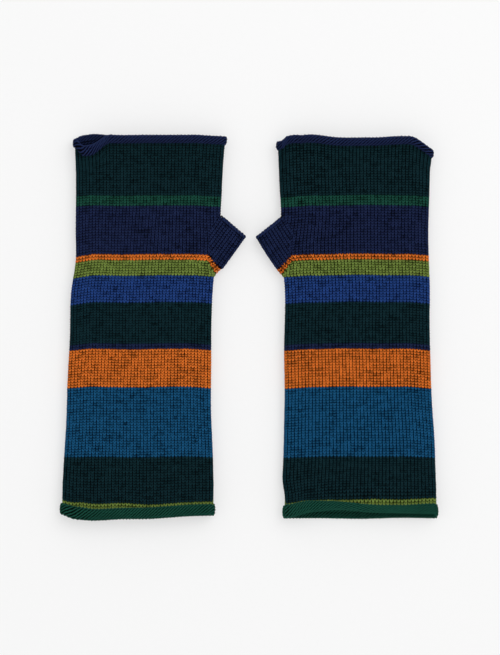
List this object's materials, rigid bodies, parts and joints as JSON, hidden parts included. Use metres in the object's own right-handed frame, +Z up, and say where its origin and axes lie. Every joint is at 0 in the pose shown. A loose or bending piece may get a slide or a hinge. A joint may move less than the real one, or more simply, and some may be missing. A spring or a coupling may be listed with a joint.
{
  "type": "knitted gloves",
  "caption": "Pair of striped fingerless knitted gloves with thumb tubes and rolled hems, lying flat side by side.",
  "frame": {"origin": "on the surface the pair lies on, under the middle of the pair", "axes": "+Z up out of the surface the gloves lie on, +Y from the cuffs to the knuckles, +X from the left glove to the right glove"},
  "size_m": [0.2358, 0.2402, 0.0126],
  "materials": {
    "dark_green_yarn": "matte",
    "bottle_green_yarn": "matte",
    "navy_yarn": "matte",
    "orange_yarn": "matte",
    "olive_yarn": "matte",
    "royal_yarn": "matte",
    "teal_yarn": "matte"
  },
  "bodies": {
    "left_forearm": {"left_cuff_roll": "bottle_green_yarn", "left_olive_stripe": "olive_yarn", "left_cuff_green_band": "dark_green_yarn", "left_teal_band": "teal_yarn", "left_wide_orange_band": "orange_yarn", "left_navy_stripe": "navy_yarn", "left_wrist_green_band": "dark_green_yarn"},
    "left_hand": {"left_royal_band": "royal_yarn", "left_olive_band": "olive_yarn", "left_orange_stripe": "orange_yarn", "left_thumb_navy_band": "navy_yarn", "left_mid_green_stripe": "bottle_green_yarn", "left_knuckle_green_band": "dark_green_yarn", "left_knuckle_roll": "navy_yarn"},
    "left_thumb": {"left_thumb_tube": "navy_yarn", "left_thumb_edge": "navy_yarn"},
    "right_forearm": {"right_cuff_roll": "bottle_green_yarn", "right_olive_stripe": "olive_yarn", "right_cuff_green_band": "dark_green_yarn", "right_teal_band": "teal_yarn", "right_wide_orange_band": "orange_yarn", "right_navy_stripe": "navy_yarn", "right_wrist_green_band": "dark_green_yarn"},
    "right_hand": {"right_royal_band": "royal_yarn", "right_olive_band": "olive_yarn", "right_orange_stripe": "orange_yarn", "right_thumb_navy_band": "navy_yarn", "right_mid_green_stripe": "bottle_green_yarn", "right_knuckle_green_band": "dark_green_yarn", "right_knuckle_roll": "navy_yarn"},
    "right_thumb": {"right_thumb_tube": "navy_yarn", "right_thumb_edge": "navy_yarn"}
  },
  "joints": [
    {"name": "left_wrist_fold", "type": "hinge", "parent": "left_forearm", "child": "left_hand", "pos_m": [-0.0682, 0.01545, 0.0095], "axis": [1, 0, 0], "range_deg": [0, 150]},
    {"name": "left_thumb_fold", "type": "hinge", "parent": "left_hand", "child": "left_thumb", "pos_m": [-0.01808, 0.05235, 0.0095], "axis": [0, -1, 0], "range_deg": [0, 150]},
    {"name": "right_glove_lift", "type": "slide", "parent": "left_forearm", "child": "right_forearm", "axis": [0, 0, 1], "range_m": [0, 0.15]},
    {"name": "right_wrist_fold", "type": "hinge", "parent": "right_forearm", "child": "right_hand", "pos_m": [0.0682, 0.01545, 0.0095], "axis": [1, 0, 0], "range_deg": [0, 150]},
    {"name": "right_thumb_fold", "type": "hinge", "parent": "right_hand", "child": "right_thumb", "pos_m": [0.01808, 0.05235, 0.0095], "axis": [0, 1, 0], "range_deg": [0, 150]}
  ]
}
